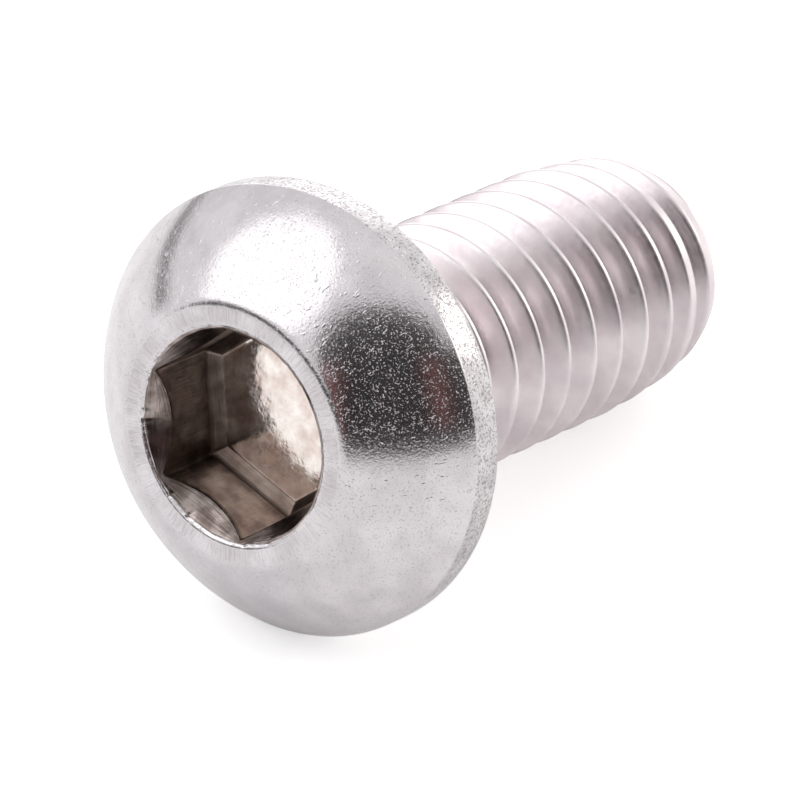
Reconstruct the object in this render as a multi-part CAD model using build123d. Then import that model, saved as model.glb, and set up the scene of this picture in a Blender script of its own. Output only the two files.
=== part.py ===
"""Button head socket screw, M6 x 12 with thread to the head, laid on its side as it comes to rest.

It is drawn along the build Z axis, with the bearing face at Z = 0, the head below it and the
tip above, and is laid down at the end.
"""
import math
import os

from build123d import *

# ---- sizes, in mm ------------------------------------------------------------------------------
# thread, M6 x 1, as rolled
pitch = 1.0
thread_radius = 2.95
depth_per_pitch = 0.58
root_radius = thread_radius - depth_per_pitch * pitch
crest_flat = 0.14
flank_angle = 30.0
first_crest = 1.232
crest_turns = 9.0
ridge_sink = 0.10
lead_turns = 1.0
lead_drop = 0.35
fade_turns = 1.5
fade_drop = 0.53

# shank ends
shank_length = 12.3
neck_radius = 2.66
neck_length = 1.0
neck_cone = 0.35
shank_sink = 0.2
tip_chamfer = 0.30
underhead_fillet = 0.32

# head
head_height = 3.0
head_radius = 5.25
dome_start = 0.90
dome_radius = 5.7
ring_radius = 3.07
rim_rounding = 0.25
crown_rounding = 0.20

# socket for a 4 mm key
socket_flats = 4.09
socket_wall_depth = 1.83
socket_depth = 2.10
socket_floor_inset = 0.22
socket_mouth_radius = 2.53
countersink_depth = 0.62
socket_turn = 16.3
cutter_clearance = 1.0

os.makedirs("parts", exist_ok=True)


def turned(*edges):
    """A solid of revolution about Z, from a closed outline drawn as (radius, height)."""
    return revolve(Plane.XZ * make_face(Curve() + list(edges)), Axis.Z)


def turned_points(*points):
    """The same, from the corners of an outline with straight sides."""
    return revolve(Plane.XZ * make_face(Polyline(*points, close=True)), Axis.Z)


# ---- head: flat ring, domed side, rounded rim ----------------------------------------------------
ring_edge = (ring_radius, -head_height)
dome_edge = (head_radius, -dome_start)
head = turned(
    Line((0, -head_height), ring_edge),
    RadiusArc(ring_edge, dome_edge, -dome_radius),
    Line(dome_edge, (head_radius, 0)),
    Line((head_radius, 0), (0, 0)),
    Line((0, 0), (0, -head_height)),
)
round_edges = head.edges().filter_by(GeomType.CIRCLE).sort_by(Axis.Z)
head = fillet(round_edges[0], crown_rounding)
head = fillet(head.edges().filter_by(GeomType.CIRCLE).sort_by(Axis.Z)[-1], rim_rounding)

# ---- socket: countersunk mouth, six flat walls, floor with a bevelled edge ------------------------
hexagon = RegularPolygon(socket_flats / 2, 6, major_radius=False, rotation=socket_turn)
broach = Pos(0, 0, -head_height) * extrude(hexagon, socket_depth)
floor_edges = broach.edges().group_by(Axis.Z)[-1]
broach = chamfer(floor_edges, socket_depth - socket_wall_depth, socket_floor_inset)
mouth_slope = (socket_mouth_radius - socket_flats / 2) / countersink_depth
cone_tip = socket_mouth_radius / mouth_slope
cutter_top = -head_height - cutter_clearance
cutter_radius = socket_mouth_radius + mouth_slope * cutter_clearance
countersink = turned_points((0, cutter_top), (cutter_radius, cutter_top), (0, -head_height + cone_tip))
socket_core = turned_points(
    (0, cutter_top),
    (cutter_radius, cutter_top),
    (cutter_radius, -head_height + countersink_depth),
    (0, -head_height + countersink_depth),
)
head = head - broach - (countersink & socket_core)

# ---- shank: plain neck with a fillet under the head, thread core, chamfered tip -------------------
reach = underhead_fillet
shank = turned(
    Line((0, -shank_sink), (neck_radius + reach, -shank_sink)),
    Line((neck_radius + reach, -shank_sink), (neck_radius + reach, 0)),
    RadiusArc((neck_radius + reach, 0), (neck_radius, reach), reach),
    Line((neck_radius, reach), (neck_radius, neck_length)),
    Line((neck_radius, neck_length), (root_radius, neck_length + neck_cone)),
    Line((root_radius, neck_length + neck_cone), (root_radius, shank_length - tip_chamfer)),
    Line((root_radius, shank_length - tip_chamfer), (root_radius - tip_chamfer, shank_length)),
    Line((root_radius - tip_chamfer, shank_length), (0, shank_length)),
    Line((0, shank_length), (0, -shank_sink)),
)

# ---- thread: a right-hand ridge of 60 degree section, swept along its helix -----------------------
base_radius = root_radius - ridge_sink
half_crest = crest_flat / 2
half_base = half_crest + (thread_radius - base_radius) * math.tan(math.radians(flank_angle))
section = Polyline(
    (base_radius, -half_base),
    (thread_radius, -half_crest),
    (thread_radius, half_crest),
    (base_radius, half_base),
    close=True,
)
section = Plane.XZ * make_face(section)


def ridge(turns, drop=0.0):
    """The ridge over some turns from Z = 0, its crest falling evenly by the drop."""
    cone = -math.degrees(math.atan2(drop, pitch * turns))
    return sweep(section, path=Helix(pitch, pitch * turns, root_radius, cone_angle=cone), is_frenet=True)


last_crest = first_crest + pitch * crest_turns
shank = shank + Pos(0, 0, first_crest) * ridge(crest_turns)
shank = shank + Pos(0, 0, last_crest) * Rot(0, 0, 360 * crest_turns) * ridge(fade_turns, fade_drop)
shank = shank + Pos(0, 0, first_crest) * Rot(180, 0, 0) * ridge(lead_turns, lead_drop)

screw = head + shank
print("solids", len(screw.solids()), "valid", screw.is_valid, "volume", round(screw.volume, 2))
print("faces", len(screw.faces()))

# ---- lay it down: rim and last crests on the floor, tip towards +X --------------------------------
tilt = math.atan2(head_radius - thread_radius, last_crest + rim_rounding)
along = (math.cos(tilt), 0, -math.sin(tilt))
screw = Plane(origin=(0, 0, 0), x_dir=(0, 1, 0), z_dir=along).location * screw
box = screw.bounding_box()
rest = Vector(-box.center().X, -box.center().Y, -box.min.Z)
screw = Pos(*rest) * screw
print("tilt", round(math.degrees(tilt), 3), "bearing centre", rest, "box", screw.bounding_box())

screw.label = "button_head_screw"
export_step(screw, "parts/button_head_screw.step")
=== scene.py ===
# %% [markdown]
# # A stainless steel button head screw, lying on its side
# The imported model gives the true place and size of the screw. This notebook dresses it with a finer skin
# of the same form, gives each area of the metal its own finish, and sets up a small studio round it.
# Lengths are in millimetres while shapes are worked out, and become metres, Blender's own unit, when a
# mesh is made.

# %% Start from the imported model
import math

import bpy
import numpy as np
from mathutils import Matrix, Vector


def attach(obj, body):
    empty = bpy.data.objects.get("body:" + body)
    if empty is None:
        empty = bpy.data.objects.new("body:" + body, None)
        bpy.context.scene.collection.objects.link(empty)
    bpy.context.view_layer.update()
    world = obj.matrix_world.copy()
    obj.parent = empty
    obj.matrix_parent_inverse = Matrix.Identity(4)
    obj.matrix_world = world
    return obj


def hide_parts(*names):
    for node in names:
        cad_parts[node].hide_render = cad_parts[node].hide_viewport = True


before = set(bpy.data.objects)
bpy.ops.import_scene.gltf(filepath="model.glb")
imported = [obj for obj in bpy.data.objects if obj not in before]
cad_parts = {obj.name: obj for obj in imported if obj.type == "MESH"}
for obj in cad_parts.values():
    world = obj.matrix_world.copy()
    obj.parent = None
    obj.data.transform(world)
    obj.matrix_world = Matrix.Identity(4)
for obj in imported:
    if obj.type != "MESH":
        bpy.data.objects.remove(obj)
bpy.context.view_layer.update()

# %% [markdown]
# ## Where the screw lies
# The screw is drawn upright, with the bearing face of its head at height 0, the head below and the tip
# above, because all of it is formed about one axis. One function then lays the drawing down, so that the
# rim of the head and the last crests of the thread touch the floor. Drawing first and laying down last
# keeps every formula as simple as it is on a lathe.

# %% Lay the drawing down
TILT = math.radians(12.376)
BEARING_CENTRE = np.array([-4.43796, 0.0, 5.08023])
ALONG = np.array([math.cos(TILT), 0.0, -math.sin(TILT)])
ACROSS = np.array([0.0, 1.0, 0.0])
UPRIGHT = np.array([math.sin(TILT), 0.0, math.cos(TILT)])


def lay_down(radius, height, angle):
    """Points in metres: the bearing centre plus height along the axis plus radius at that angle round it."""
    sideways = radius[..., None] * (np.cos(angle)[..., None] * ACROSS + np.sin(angle)[..., None] * UPRIGHT)
    return (BEARING_CENTRE + height[..., None] * ALONG + sideways) / 1000


print("the axis points to", ALONG.round(3), "and the bearing face is centred on", BEARING_CENTRE)

# %% [markdown]
# ## Meshes from arrays
# Each surface is a grid of points, worked out as whole arrays, so one function can turn any of them into
# a mesh. It also stores where each point is round the axis and along the profile. The finishes read that
# attribute to draw marks that run round the metal or across it, which plain object coordinates can't do
# on a turned form.

# %% Mesh helpers
def enclosed_volume(mesh):
    """Volume in cubic mm: a sixth of the sum of a . (b x c) over all triangles with corners a, b and c."""
    mesh.calc_loop_triangles()
    corners = np.empty(len(mesh.loop_triangles) * 3, dtype=np.int32)
    mesh.loop_triangles.foreach_get("vertices", corners)
    places = np.empty(len(mesh.vertices) * 3)
    mesh.vertices.foreach_get("co", places)
    a, b, c = places.reshape(-1, 3)[corners.reshape(-1, 3)].transpose(1, 0, 2) * 1000
    return float((a * np.cross(b, c)).sum() / 6)


def mesh_object(name, points, faces, zones, angle, path):
    """A smooth mesh from points and faces, with a material number per face.

    Each face lists its corners anticlockwise as seen from outside, so it points outwards.
    Its attribute holds, for each point, the cosine and sine of the angle round the axis and the distance
    along the profile in mm.
    """
    mesh = bpy.data.meshes.new(name)
    mesh.from_pydata(points.reshape(-1, 3).tolist(), [], faces)
    mesh.polygons.foreach_set("use_smooth", np.ones(len(faces), dtype=bool))
    mesh.polygons.foreach_set("material_index", np.asarray(zones, dtype=np.int32))
    around = np.stack([np.cos(angle), np.sin(angle), path], axis=-1)
    attribute = mesh.attributes.new("around", "FLOAT_VECTOR", "POINT")
    attribute.data.foreach_set("vector", around.reshape(-1).astype(np.float32))
    mesh.validate()
    obj = bpy.data.objects.new(name, mesh)
    bpy.context.scene.collection.objects.link(obj)
    print(name, len(points.reshape(-1, 3)), "points", sum(len(face) - 2 for face in faces), "triangles")
    print(name, "holds", round(enclosed_volume(mesh), 1), "cubic mm, which is above 0 when it faces outwards")
    return obj


# %% [markdown]
# ## The head
# A button head is formed cold from wire in a die, and its hex socket is punched, so all of its edges are
# slightly soft. It could be made with booleans and a bevel modifier, but those leave uneven faces where
# the countersink meets the six walls. Here the whole head is one closed sheet instead: it starts in the
# middle of the socket floor, climbs the walls, leaves by the countersunk mouth, runs over the flat ring
# and the dome, turns round the rim and goes back in under the head.

# %% Head sizes in mm
HEAD_HEIGHT = 3.0
HEAD_RADIUS = 5.25
BAND_HEIGHT = 0.90
DOME_RADIUS = 5.7
RING_RADIUS = 3.07
NECK_RADIUS = 2.66
SOCKET_FLATS = 4.24
SOCKET_DEPTH = 2.10
WALL_DEPTH = 1.83
FLOOR_INSET = 0.27
MOUTH_RADIUS = 2.51
COUNTERSINK_DEPTH = 0.56
SOCKET_TURN = math.radians(16.3)
HEAD_COLUMNS = 480
print("head", 2 * HEAD_RADIUS, "mm across and", HEAD_HEIGHT, "mm high, with a socket of", SOCKET_FLATS, "mm")


# %% Profile helpers
def arc(centre, radius, start, end, count):
    """Rows of (radius, height) on a circle: the centre plus the radius at evenly spaced angles in degrees."""
    angles = np.radians(np.linspace(start, end, count))
    return np.stack([centre[0] + radius * np.cos(angles), centre[1] + radius * np.sin(angles)], axis=1)


def softened(corners, reaches, steps=7):
    """An open outline with each inner corner replaced by a quadratic curve.

    The curve starts the corner's reach before it and ends as far after it, and the corner is its control
    point, so it touches both sides. A reach of 0 leaves the corner as it is.
    """
    rows = [corners[0]]
    for before, corner, after, reach in zip(corners, corners[1:], corners[2:], reaches):
        if reach == 0:
            rows.append(corner)
            continue
        before, corner, after = map(np.asarray, (before, corner, after))
        start = corner + (before - corner) / np.linalg.norm(before - corner) * reach
        end = corner + (after - corner) / np.linalg.norm(after - corner) * reach
        t = np.linspace(0, 1, steps)[:, None]
        rows.extend((1 - t) ** 2 * start + 2 * t * (1 - t) * corner + t**2 * end)
    rows.append(corners[-1])
    return np.array([tuple(row) for row in rows])


def filled(rows, longest):
    """The same outline with evenly spaced rows added, so that no step is longer than asked."""
    result = [rows[0]]
    for a, b in zip(rows, rows[1:]):
        count = max(1, int(np.ceil(np.linalg.norm(b - a) / longest)))
        result.extend(a + (b - a) * (k + 1) / count for k in range(count))
    return np.array(result)


# %% Dome arc
# The centre lies on the middle line of the chord from the ring to the band, as far in as the radius asks.
DOME_ROWS = 40
ring_edge = np.array([RING_RADIUS, -HEAD_HEIGHT])
dome_edge = np.array([HEAD_RADIUS, -BAND_HEIGHT])
chord = dome_edge - ring_edge
inward = np.array([-chord[1], chord[0]]) / np.linalg.norm(chord)
dome_centre = (ring_edge + dome_edge) / 2 + inward * math.sqrt(DOME_RADIUS**2 - np.dot(chord, chord) / 4)
first_angle = math.degrees(math.atan2(*(ring_edge - dome_centre)[::-1]))
last_angle = math.degrees(math.atan2(*(dome_edge - dome_centre)[::-1]))
dome = arc(dome_centre, DOME_RADIUS, first_angle, last_angle, DOME_ROWS)
dome = dome[4:-3]  # leaves room for the softened corners at both ends
print("dome centre", dome_centre.round(3), "degrees", round(first_angle, 1), "to", round(last_angle, 1))

# %% Outline of the outside of the head
LIP_DEPTH, LIP_WIDTH = 0.055, 0.075
SKIN_END_RADIUS, SKIN_END_HEIGHT = 2.5, 0.4  # the sheet ends inside the shank, where it can't be seen
LONGEST_STEP = 0.12
corners = [
    (MOUTH_RADIUS, LIP_DEPTH - HEAD_HEIGHT),
    (MOUTH_RADIUS + LIP_WIDTH, -HEAD_HEIGHT),
    (RING_RADIUS, -HEAD_HEIGHT),
    *map(tuple, dome),
    (HEAD_RADIUS, -BAND_HEIGHT),
    (HEAD_RADIUS, 0.0),
    (NECK_RADIUS, 0.0),
    (NECK_RADIUS, SKIN_END_HEIGHT),
    (SKIN_END_RADIUS, SKIN_END_HEIGHT),
]
LIP_REACH, RING_REACH, BAND_REACH, RIM_REACH, UNDERHEAD_REACH, END_REACH = 0.06, 0.15, 0.05, 0.29, 0.25, 0.02
reaches = [LIP_REACH, RING_REACH] + [0] * len(dome) + [BAND_REACH, RIM_REACH, UNDERHEAD_REACH, END_REACH]
outside = filled(softened(corners, reaches), LONGEST_STEP)
print("outline of the head:", len(outside), "rows")

# %% Walls of the socket
# A hexagon's wall is half the flats over the cosine of the angle from the middle of that flat. The sharp
# corners are cut back a little, because a punch has worn ones. A cone meets the walls in a curve, so the
# height at which a wall ends depends on the column.
CORNER_BLUNTING = 0.012
SIXTH, HALF_SIXTH = math.pi / 3, math.pi / 6
angle = np.arange(HEAD_COLUMNS) * 2 * math.pi / HEAD_COLUMNS + SOCKET_TURN
from_corner = (angle - SOCKET_TURN + HALF_SIXTH) % SIXTH - HALF_SIXTH
half_flats = SOCKET_FLATS / 2
wall = half_flats / np.cos(HALF_SIXTH - np.abs(from_corner))
wall = np.minimum(wall, half_flats / math.cos(HALF_SIXTH) - CORNER_BLUNTING)
cone_slope = (MOUTH_RADIUS - half_flats) / COUNTERSINK_DEPTH
wall_top = (MOUTH_RADIUS - wall) / cone_slope
print("walls from", wall.min().round(3), "to", wall.max().round(3), "mm from the axis")


# %% Rows of the socket, from the middle of its floor to its mouth
def between(a, b, shares):
    """Rows that lie at the given shares of the way from array a to array b."""
    return [a + (b - a) * share for share in shares]


EDGE = 0.02  # how far the rows keep off each edge, which leaves it this soft
FLOOR_SHARES = [0.02, 0.1, 0.2, 0.35, 0.5, 0.65, 0.8, 0.9, 0.96, 1]
BEVEL_SHARES = [0, 0.33, 0.66, 1]
WALL_SHARES = np.linspace(0, 1, 14)
CONE_SHARES = np.linspace(0, 0.9, 10)
floor_edge = wall * (half_flats - FLOOR_INSET) / half_flats
bevel_rise = SOCKET_DEPTH - WALL_DEPTH
mouth_z = -HEAD_HEIGHT + 0 * wall
floor_z = -HEAD_HEIGHT + SOCKET_DEPTH + 0 * wall
socket_r = np.array(
    between(0 * wall, floor_edge - EDGE, FLOOR_SHARES)
    + between(floor_edge + EDGE * 0.7, wall - EDGE * 0.5, BEVEL_SHARES)
    + between(wall, wall, WALL_SHARES)
    + between(wall + EDGE * cone_slope, MOUTH_RADIUS + 0 * wall, CONE_SHARES)
)
socket_z = np.array(
    between(floor_z, floor_z, FLOOR_SHARES)
    + between(floor_z - EDGE * 0.7, floor_z - bevel_rise + EDGE * 0.5, BEVEL_SHARES)
    + between(floor_z - bevel_rise - EDGE, mouth_z + wall_top + EDGE, WALL_SHARES)
    + between(mouth_z + wall_top - EDGE, mouth_z, CONE_SHARES)
)
head_r = np.concatenate([socket_r, np.repeat(outside[:, :1], HEAD_COLUMNS, axis=1)])
head_z = np.concatenate([socket_z, np.repeat(outside[:, 1:], HEAD_COLUMNS, axis=1)])
head_rows, socket_rows = len(head_r), len(socket_r)
print("socket", socket_rows, "rows of", head_rows, "in the head")

# %% [markdown]
# ### Burrs round the mouth
# The punch drags the metal, so the mouth isn't a true circle: it waves by some hundredths of a millimetre
# and has a few nicks. A sum of sines with random strengths gives such an edge, and since all its waves go
# round a whole number of times, it closes on itself. A noise texture would only change the shading, and
# this edge is seen against the dark socket.

# %% Ripple of the mouth
BURR_SEED = 7
SLOWEST_WAVE, WAVE_COUNT, WAVE_FALL = 1, 89, 20
RIPPLE_DEPTH = 0.006
NICK_LEVEL, NICK_DEPTH = 1.3, 0.035
RIPPLE_ROWS, RIPPLE_SPREAD = 4, 2.2
chance = np.random.default_rng(BURR_SEED)
waves = np.arange(SLOWEST_WAVE, SLOWEST_WAVE + WAVE_COUNT)
strength = chance.normal(size=len(waves)) / np.sqrt(WAVE_FALL + waves)
shift = chance.uniform(0, 2 * math.pi, len(waves))
ripple = (strength[:, None] * np.sin(waves[:, None] * angle + shift[:, None])).sum(axis=0)
nicks = np.clip(ripple - NICK_LEVEL * ripple.std(), 0, None) * NICK_DEPTH
ripple = ripple * RIPPLE_DEPTH + nicks
for distance in range(-RIPPLE_ROWS, RIPPLE_ROWS + 1):
    head_r[socket_rows + distance] += ripple * math.exp(-((distance / RIPPLE_SPREAD) ** 2))
print("mouth ripple from", ripple.min().round(4), "to", ripple.max().round(4), "mm")

# %% Which finish each strip of the head has
DOME, WALL, RING, FLOOR, CONE, BAND, BEVEL = range(7)
TOUCH = 1e-4  # mm by which a row may miss a flat and still belong to it
row_zone = np.full(head_rows - 1, DOME)
row_zone[:socket_rows] = np.repeat(
    [FLOOR, BEVEL, WALL, CONE],
    [len(FLOOR_SHARES) - 1, len(BEVEL_SHARES) + 1, len(WALL_SHARES) - 1, len(CONE_SHARES) + 1],
)
is_outside = np.arange(head_rows - 1) >= socket_rows
strip_z = head_z[:-1, 0]
row_zone[is_outside & (strip_z < -HEAD_HEIGHT + TOUCH)] = RING
row_zone[is_outside & (strip_z > -BAND_HEIGHT)] = BAND
row_zone[is_outside & (strip_z > -TOUCH)] = RING  # the bearing face is pressed in the same way as the ring
print("strips of each finish:", np.bincount(row_zone))

# %% Head mesh
step = np.hypot(np.diff(head_r, axis=0), np.diff(head_z, axis=0)).mean(axis=1)
path = np.concatenate([[0], np.cumsum(step)])[:, None] + 0 * head_r
turned = angle[None, :] + 0 * head_r
grid = np.arange(head_rows * HEAD_COLUMNS).reshape(head_rows, HEAD_COLUMNS)
right = np.roll(grid, -1, axis=1)
quads = np.stack([grid[:-1], right[:-1], right[1:], grid[1:]], axis=-1).reshape(-1, 4)
faces = quads.tolist() + [grid[0][::-1].tolist(), grid[-1].tolist()]  # the last two close both ends
zones = np.repeat(row_zone, HEAD_COLUMNS).tolist() + [FLOOR, DOME]
head = mesh_object("screw_head", lay_down(head_r, head_z, turned), faces, zones, turned, path)

# %% [markdown]
# ## The thread
# The thread is rolled between dies, so its roots are round and its crests are narrow. A Screw modifier
# would make the turns but not the way in which they fade at both ends. Here the rows of the grid follow
# the helix instead of lying flat, so that every crest and every root is a line of the grid and stays
# clean with few points. Past both ends the radius shrinks towards the axis, which closes the shank.

# %% Thread sizes in mm
PITCH = 1.0
CREST_RADIUS = 2.95
CREST_SOFTNESS = 0.02
ROOT_RADIUS = 2.37
ROOT_ROUNDING = 0.20
FLANK = math.radians(30)
CREST_PHASE = 0.232
SHANK_START, SHANK_LENGTH = -0.3, 12.3
TIP_CORNER = 2.12
WINDING_IN = 0.45
THREAD_COLUMNS = 192
THREAD_TURNS, FIRST_TURN = 17, -2.5
crest_side = [0, 0.02, 0.035, 0.048, 0.06, 0.075, 0.10, 0.17, 0.25, 0.31, 0.34, 0.38, 0.42, 0.46]
row_offsets = np.array(crest_side + [0.5])  # shares of a pitch from a crest, closer together on it
row_offsets = np.concatenate([row_offsets, 1 - row_offsets[-2:0:-1]])
ROWS_PER_PITCH = len(row_offsets)
print("thread", 2 * CREST_RADIUS, "mm over its crests,", ROWS_PER_PITCH, "rows to a pitch")

# %% How the thread fades
# The largest radius at some heights: it grows under the head, and shrinks towards the tip before the chamfer.
LEAD_HEIGHTS = [0.2, 1.25, 9.2, 10.1, 11.1, 11.5, 12.1, 12.4]
LEAD_RADII = [2.60, 2.96, 2.96, 2.87, 2.765, 2.68, 2.44, 2.30]
LEAD_SOFTNESS = 0.03
# The neck under the head is plain, and its radius falls below the roots where the thread takes over.
NECK_HEIGHTS = [1.0, 1.35]
NECK_RADII = [NECK_RADIUS, ROOT_RADIUS - 0.05]
# The chamfer at the tip ends in a small rounded corner.
CHAMFER_START, CHAMFER_SOFTNESS = 12.0, 0.05
CHAMFER_HEIGHTS = [CHAMFER_START, SHANK_LENGTH - 0.06, SHANK_LENGTH]
CHAMFER_RADII = [2.6, TIP_CORNER + 0.08, TIP_CORNER]
print("the thread is full from", LEAD_HEIGHTS[1], "to", LEAD_HEIGHTS[2], "mm")


# %% Thread form
def soft_min(a, b, width):
    """The lower of two arrays, rounded where they cross over a width by a quadratic smooth minimum."""
    mix = np.clip(0.5 + 0.5 * (b - a) / width, 0, 1)
    return b + (a - b) * mix - width * mix * (1 - mix)


def thread_radius(offset):
    """Radius at an offset from a crest in pitches: a cut-off crest, straight flanks and a round root.

    The root is a circle of the root rounding. The flank starts where it touches that circle, and rises by the
    distance from there over the tangent of the flank angle.
    """
    away = np.abs((offset + 0.5) % 1 - 0.5) * PITCH
    to_root = 0.5 * PITCH - away
    tangent = ROOT_ROUNDING * math.cos(FLANK)
    tangent_radius = ROOT_RADIUS + ROOT_ROUNDING * (1 - math.sin(FLANK))
    root = ROOT_RADIUS + ROOT_ROUNDING - np.sqrt(np.maximum(ROOT_ROUNDING**2 - to_root**2, 0))
    flank = tangent_radius + (to_root - tangent) / math.tan(FLANK)
    radius = np.where(to_root < tangent, root, flank)
    return soft_min(radius, CREST_RADIUS + 0 * radius, CREST_SOFTNESS)


def shank_form(t, offset):
    """Radius and height of the shank, where t is the height in mm between its ends.

    The radius is the thread's, no larger than the lead and the chamfer allow and no smaller than the neck.
    Past an end the height stays, and the radius falls off exponentially with the distance past it.
    """
    height = np.clip(t, SHANK_START, SHANK_LENGTH)
    lead = np.interp(height, LEAD_HEIGHTS, LEAD_RADII)
    neck = np.interp(height, NECK_HEIGHTS, NECK_RADII)
    radius = np.maximum(soft_min(thread_radius(offset), lead, LEAD_SOFTNESS), neck)
    chamfer = np.interp(height, CHAMFER_HEIGHTS, CHAMFER_RADII)
    radius = np.where(height > CHAMFER_START, soft_min(radius, chamfer, CHAMFER_SOFTNESS), radius)
    past = np.maximum(t - SHANK_LENGTH, 0) + np.maximum(SHANK_START - t, 0)
    return radius * np.exp(-past / WINDING_IN), height


# %% Points of the thread
thread_rows = (np.arange(THREAD_TURNS)[:, None] + row_offsets[None, :]).reshape(-1) + FIRST_TURN
turn_angle = np.arange(THREAD_COLUMNS) * 2 * math.pi / THREAD_COLUMNS
offset = thread_rows[:, None] + 0 * turn_angle[None, :]
t = offset * PITCH + CREST_PHASE + PITCH * turn_angle[None, :] / (2 * math.pi)
shank_r, shank_z = shank_form(t, offset)
thread_angle = turn_angle[None, :] + 0 * shank_r
print("shank from", shank_z.min(), "to", shank_z.max(), "mm, crests at", shank_r.max().round(3), "mm")

# %% Faces of the thread
# The last column meets the first one a whole pitch further up, so the seam joins rows that are a pitch
# apart. At both ends the rows of one pitch are open, and a cap joins them with the end row.
ids = np.arange(len(thread_rows) * THREAD_COLUMNS).reshape(len(thread_rows), THREAD_COLUMNS)
quads = np.stack([ids[:-1, :-1], ids[:-1, 1:], ids[1:, 1:], ids[1:, :-1]], axis=-1).reshape(-1, 4)
low, high = ids[:-ROWS_PER_PITCH, -1], ids[ROWS_PER_PITCH:, 0]
seam = np.stack([low[:-1], high[:-1], high[1:], low[1:]], axis=-1)
start_cap = ids[0].tolist() + ids[ROWS_PER_PITCH:0:-1, 0].tolist()
end_cap = ids[-1, ::-1].tolist() + ids[-1 - ROWS_PER_PITCH : -1, -1].tolist()
faces = np.concatenate([quads, seam]).tolist() + [start_cap[::-1], end_cap[::-1]]
zones = np.zeros(len(faces))
shank = mesh_object("screw_thread", lay_down(shank_r, shank_z, thread_angle), faces, zones, thread_angle, t)

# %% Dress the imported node
for piece in (head, shank):
    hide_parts("button_head_screw")
    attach(piece, "root")
print("both skins ride on the screw")

# %% [markdown]
# ## Finishes
# All of the screw is one bare stainless steel, but each area was shaped by another tool, and metal shows
# that in how it spreads a reflection. So there is one recipe for bare steel, and each finish gives it its
# own colours, roughness and layers of relief. Relief is done with bump nodes here, because it is some
# thousandths of a millimetre deep and too fine for a mesh.

# %% Colour and node helpers
def linear(colour):
    """An sRGB hex colour as linear RGBA: each channel over 12.92 when dark, else by the 2.4 power curve."""
    channels = [int(colour[i : i + 2], 16) / 255 for i in (1, 3, 5)]
    return tuple(c / 12.92 if c <= 0.04045 else ((c + 0.055) / 1.055) ** 2.4 for c in channels) + (1.0,)


def node(tree, kind, settings=None, **inputs):
    """Adds a node, sets its properties and gives its inputs their values or links. Input i3 is number 3."""
    made = tree.nodes.new(kind)
    for name, value in (settings or {}).items():
        setattr(made, name, value)
    for name, value in inputs.items():
        is_number = name[0] == "i" and name[1:].isdigit()
        socket = made.inputs[int(name[1:])] if is_number else made.inputs[name]
        if isinstance(value, bpy.types.NodeSocket):
            tree.links.new(value, socket)
        else:
            socket.default_value = value
    return made


print("white is", linear("#ffffff"), "and mid grey is", round(linear("#808080")[0], 3))

# %% Grain helpers
WIPE_TURN = math.radians(52)
WIPE_REPEATS = (350, 9000, 9000)  # to a metre, so a wiped line is about 3 mm long and 0.1 mm wide


def grain(tree, size, detail=3.0):
    """Noise from 0 to 1 with a grain of a size in mm."""
    place = node(tree, "ShaderNodeTexCoord").outputs["Object"]
    return node(tree, "ShaderNodeTexNoise", Vector=place, Scale=1000 / size, Detail=detail).outputs["Fac"]


def wiped_lines(tree):
    """Noise from 0 to 1, drawn out into long fine lines that all run one way, as a cloth leaves them."""
    place = node(tree, "ShaderNodeTexCoord").outputs["Object"]
    wiped = node(tree, "ShaderNodeMapping", Vector=place, Rotation=(0, 0, WIPE_TURN), Scale=WIPE_REPEATS)
    place = wiped.outputs["Vector"]
    return node(tree, "ShaderNodeTexNoise", Vector=place, Scale=1.0, Detail=1.0).outputs["Fac"]


def tool_marks(tree, round_it, along_it):
    """Noise from 0 to 1 with so many marks to a radian round the axis and to a mm along the profile."""
    place = node(tree, "ShaderNodeAttribute", {"attribute_name": "around"}).outputs["Vector"]
    repeats = (round_it, round_it, along_it)
    scaled = node(tree, "ShaderNodeVectorMath", {"operation": "MULTIPLY"}, i0=place, i1=repeats)
    place = scaled.outputs["Vector"]
    return node(tree, "ShaderNodeTexNoise", Vector=place, Scale=1.0, Detail=3.0).outputs["Fac"]


print("a wiped line is", round(1000 / WIPE_REPEATS[0], 1), "by", round(1000 / WIPE_REPEATS[1], 2), "mm")


# %% Bare steel
def layer_noise(tree, pattern):
    """The noise of a layer: a number is a grain size in mm, a pair is tool marks, None is wiped lines."""
    if pattern is None:
        return wiped_lines(tree)
    if isinstance(pattern, tuple):
        return tool_marks(tree, *pattern)
    return grain(tree, pattern)


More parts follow.
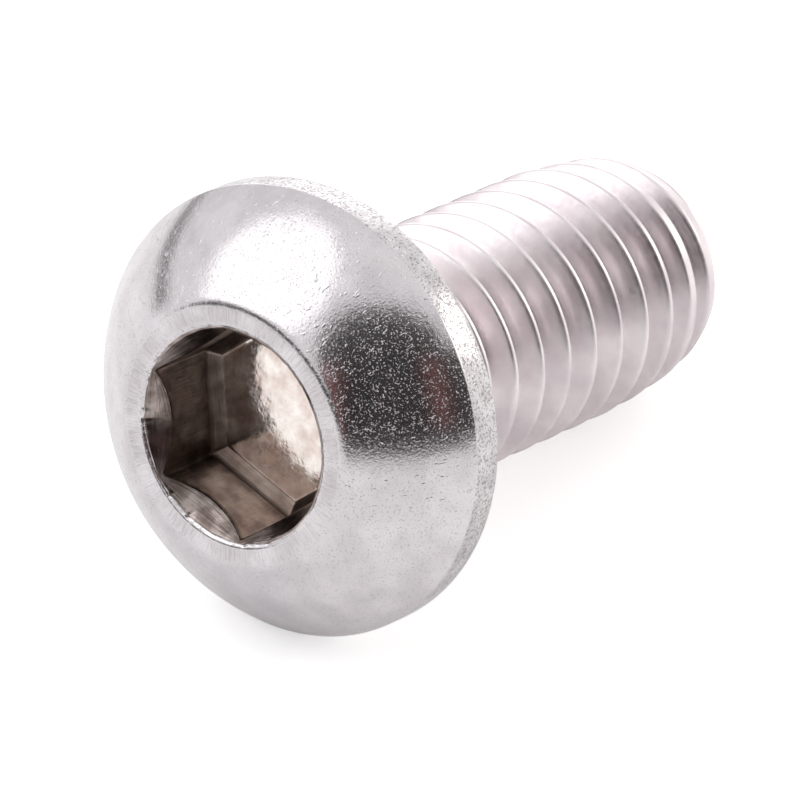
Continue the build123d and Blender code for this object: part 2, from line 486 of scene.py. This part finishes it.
def steel(name, colour, dark_colour, roughness, layers, mottle=0.8, grime=0.25):
    """Bare metal with a slow mottle, of a size in mm, between two colours, and layers of relief.

    A layer is its pattern, its depth in mm and, if it keeps to spots, the two noise levels between which it
    falls. It stands up where its noise is high, except for tool marks, which are grooves there. Where the
    noise of the last layer is low, grime darkens the steel by the given share and it is a little smoother.
    """
    material = bpy.data.materials.new(name)
    material.use_nodes = True
    tree = material.node_tree
    shader = tree.nodes["Principled BSDF"]
    shader.inputs["Metallic"].default_value = 1.0
    slow = grain(tree, mottle, detail=4.0)
    fade = node(tree, "ShaderNodeMapRange", Value=slow, i1=0.38, i2=0.62).outputs["Result"]
    colours = {"i6": linear(dark_colour), "i7": linear(colour)}
    mix = node(tree, "ShaderNodeMix", {"data_type": "RGBA"}, i0=fade, **colours)
    normal = None
    for pattern, depth, *levels in layers:
        fine = layer_noise(tree, pattern)
        if levels:
            fine = node(tree, "ShaderNodeMapRange", Value=fine, i1=levels[0], i2=levels[1]).outputs["Result"]
        grooves = {"invert": isinstance(pattern, tuple)}
        bump = node(tree, "ShaderNodeBump", grooves, Height=fine, Distance=depth / 1000, Strength=1.0)
        if normal is not None:
            tree.links.new(normal, bump.inputs["Normal"])
        normal = bump.outputs["Normal"]
    clean = node(tree, "ShaderNodeMapRange", Value=fine, i1=0.34, i2=0.52, i3=1 - grime, i4=1.0)
    multiply = {"data_type": "RGBA", "blend_type": "MULTIPLY"}
    soiled = node(tree, "ShaderNodeMix", multiply, i0=1.0, i6=mix.outputs[2], i7=clean.outputs["Result"])
    tree.links.new(soiled.outputs[2], shader.inputs["Base Color"])
    smooth, rough = roughness - 0.05, roughness + 0.05
    spread = node(tree, "ShaderNodeMapRange", Value=fine, i1=0.3, i2=0.7, i3=smooth, i4=rough)
    tree.links.new(spread.outputs["Result"], shader.inputs["Roughness"])
    tree.links.new(normal, shader.inputs["Normal"])
    return material


# %% Finishes of the head
# Satin stainless steel, tumbled after forming: it mirrors softly, with a fine scaly grain, wiped lines
# and tiny pits.
satin = steel(
    "satin_stainless_steel", "#dcd7da", "#d0cbce", 0.13,
    [(0.3, 0.003), (0.06, 0.0032), (None, 0.004, 0.66, 0.72), (0.04, 0.005, 0.32, 0.38)],
    grime=0.2,
)
# Stainless steel sheared by the punch, with deep, drawn lines; its dark brownish colour is painted shade for
# the inside of the socket.
punched_painted_shade = steel(
    "punched_steel_painted_shade", "#877970", "#62554e", 0.34, [(0.1, 0.002), ((60, 1.5), 0.004)], 0.5
)
# Stainless steel pressed flat by the die: matt, with short marks that point to the axis.
pressed = steel(
    "pressed_stainless_steel", "#e0dbde", "#cfc9cc", 0.24, [(0.06, 0.006), ((75, 2.5), 0.005)], grime=0.2
)
# Stainless steel burnished by the end of the punch: the brightest place, with slow waves and a warm tint.
burnished = steel(
    "burnished_stainless_steel", "#fff8f2", "#e2d0c9", 0.14, [(0.3, 0.008), (0.1, 0.001)], 0.5, 0.1
)
# Stainless steel cut by a countersink: fine rings that run round the axis, with oil left in them.
countersunk = steel(
    "countersunk_stainless_steel", "#ada19d", "#7b6e69", 0.22, [(0.08, 0.002), ((2.5, 28), 0.010)], 0.4
)
# Stainless steel trimmed at the rim: bright, with many small dark dents.
trimmed = steel(
    "trimmed_stainless_steel", "#dcd8da", "#c8c3c6", 0.22, [(0.2, 0.006), (0.06, 0.010, 0.36, 0.48)], 0.4, 0.4
)
# Stainless steel pushed aside at the foot of the walls: dull and brown, with soft lines along it.
bevelled = steel(
    "bevelled_stainless_steel", "#8a7b72", "#6e5f58", 0.34, [(0.1, 0.002), ((3, 20), 0.002)], 0.5
)
for material in (satin, punched_painted_shade, pressed, burnished, countersunk, trimmed, bevelled):
    head.data.materials.append(material)
print("finishes of the head:", [material.name for material in head.data.materials])

# %% Finish of the shank
# Rolled stainless steel: the dies polish it but leave it wavy, so its reflections are soft and slightly rosy.
rolled = steel("rolled_stainless_steel", "#efe7e9", "#ddd3d7", 0.37, [(0.6, 0.006), (0.12, 0.001)], 1.2, 0.0)
shank.data.materials.append(rolled)
print("finish of the shank:", rolled.name)

# %% [markdown]
# ## The studio
# Bare metal has hardly a colour of its own: it shows what stands round it. A screw this small is shown in
# a white tent with large soft lamps, and dark boards beyond the camera give its curves an edge. The floor
# is plain paper. It glows a little for the camera and, more weakly, in reflections, so that it stays
# white without more light on the screw.

# %% Floor
FLOOR_SIZE, FLOOR_DROP = 1.2, 0.00001
CAMERA_GLOW, REFLECTED_SHARE = 0.5, 0.3
bpy.ops.mesh.primitive_plane_add(size=FLOOR_SIZE, location=(0, 0, -FLOOR_DROP))
floor = bpy.context.object
floor.name = "white_floor"
paper = bpy.data.materials.new("white_paper")
paper.use_nodes = True
tree = paper.node_tree
base = tree.nodes["Principled BSDF"]
base.inputs["Base Color"].default_value = (0.9, 0.9, 0.9, 1)
base.inputs["Roughness"].default_value = 0.8
base.inputs["Emission Color"].default_value = (1, 1, 1, 1)
rays = node(tree, "ShaderNodeLightPath").outputs
larger, times = {"operation": "MAXIMUM"}, {"operation": "MULTIPLY"}
indirect = node(tree, "ShaderNodeMath", larger, i0=rays["Is Glossy Ray"], i1=rays["Is Transmission Ray"])
reflected = node(tree, "ShaderNodeMath", times, i0=indirect.outputs[0], i1=REFLECTED_SHARE)
either = node(tree, "ShaderNodeMath", larger, i0=rays["Is Camera Ray"], i1=reflected.outputs[0])
glow = node(tree, "ShaderNodeMath", times, i0=either.outputs[0], i1=CAMERA_GLOW)
tree.links.new(glow.outputs[0], base.inputs["Emission Strength"])
floor.data.materials.append(paper)
print("floor", FLOOR_SIZE, "m wide")


# %% Direction helper
def out_there(azimuth, elevation, distance):
    """A place in metres at a distance in mm from the screw, an azimuth from +X and an elevation."""
    a, e = math.radians(azimuth), math.radians(elevation)
    return Vector((math.cos(a) * math.cos(e), math.sin(a) * math.cos(e), math.sin(e))) * distance / 1000


# %% Lamps
def lamp(name, azimuth, elevation, distance, width, height, brightness, colour, shape="RECTANGLE"):
    """A soft box that faces the screw. Its power is its brightness, where 1 is white, times pi times area."""
    data = bpy.data.lights.new(name, "AREA")
    data.shape = shape
    data.size, data.size_y = width / 1000, height / 1000
    data.color = colour
    data.energy = brightness * math.pi * data.size * data.size_y
    obj = bpy.data.objects.new(name, data)
    obj.location = out_there(azimuth, elevation, distance)
    obj.rotation_euler = (-obj.location).to_track_quat("-Z", "Y").to_euler()
    bpy.context.scene.collection.objects.link(obj)
    print(name, "gives", round(data.energy, 3), "W")


WHITE, WARM_WHITE, TUNGSTEN = (1, 1, 1), (1, 0.98, 0.95), (1, 0.92, 0.80)
lamp("left_soft_box", 133, 47, 450, 460, 480, 0.76, WHITE, "ELLIPSE")
lamp("back_soft_box", 36, 12, 500, 420, 260, 1.1, WHITE)
lamp("right_soft_box", -60, 32, 450, 150, 150, 3.0, WARM_WHITE)
lamp("right_strip", -27, 16, 450, 120, 90, 7.5, TUNGSTEN)

# %% White tent
TENT_STRENGTH = 0.92
world = bpy.data.worlds.new("white_tent")
bpy.context.scene.world = world
world.use_nodes = True
background = world.node_tree.nodes["Background"]
background.inputs["Color"].default_value = (1, 1, 1, 1)
background.inputs["Strength"].default_value = TENT_STRENGTH
print("tent at", TENT_STRENGTH, "of white")


# %% Boards
def board(name, azimuth, elevation, distance, width, height, colour, corners=4):
    """A flat board of one colour that faces the screw: a rectangle, or an oval when it has many corners."""
    if corners == 4:
        bpy.ops.mesh.primitive_plane_add(size=1)
    else:
        bpy.ops.mesh.primitive_circle_add(vertices=corners, radius=0.5, fill_type="NGON")
    obj = bpy.context.object
    obj.name = name
    obj.location = out_there(azimuth, elevation, distance)
    obj.rotation_euler = obj.location.to_track_quat("Z", "Y").to_euler()
    obj.scale = (width / 1000, height / 1000, 1)
    card = bpy.data.materials.new(name)
    card.use_nodes = True
    card.node_tree.nodes["Principled BSDF"].inputs["Base Color"].default_value = linear(colour)
    obj.data.materials.append(card)
    print(name, width, "by", height, "mm")


BLACK_CARD, GREY_CARD, BROWN_CARD = "#151415", "#29282a", "#7a4a47"
board("low_front_card", -133, 14, 500, 960, 360, BLACK_CARD)
board("high_front_card", -139, 38, 505, 590, 480, BLACK_CARD, 64)
board("right_card", -62, 0, 560, 500, 60, BLACK_CARD)
board("left_card", 158, 5, 560, 520, 170, BLACK_CARD)
board("left_brown_strip", -168, 18, 440, 80, 240, BROWN_CARD)
board("right_brown_strip", -113, 24, 440, 50, 230, BROWN_CARD)
board("far_left_card", 84, 1, 520, 400, 90, GREY_CARD)
board("right_front_card", -99, 24, 470, 130, 260, BLACK_CARD)

# %% [markdown]
# ## The camera
# The camera looks down on the screw from in front of its head, so that the socket and the whole shank are
# seen. It stands far off with a long lens, which keeps the thread from shrinking towards the tip.

# %% Camera
ELEVATION, HEADING = math.radians(34.982), math.radians(38.115)
FROM_BEARING_FACE = np.array([-145.761, -116.801, 130.709])
level = math.cos(ELEVATION)
forward = Vector((level * math.cos(HEADING), level * math.sin(HEADING), -math.sin(ELEVATION)))
camera_data = bpy.data.cameras.new("camera")
camera_data.sensor_width = 36
camera_data.lens = 458.3
camera_data.clip_start, camera_data.clip_end = 0.01, 10
camera = bpy.data.objects.new("camera", camera_data)
camera.location = Vector((BEARING_CENTRE + FROM_BEARING_FACE) / 1000)
camera.rotation_euler = forward.to_track_quat("-Z", "Y").to_euler()
bpy.context.scene.collection.objects.link(camera)
bpy.context.scene.camera = camera
bpy.context.scene.view_settings.view_transform = "Standard"
print("camera", round(float(np.linalg.norm(FROM_BEARING_FACE))), "mm from the bearing face")
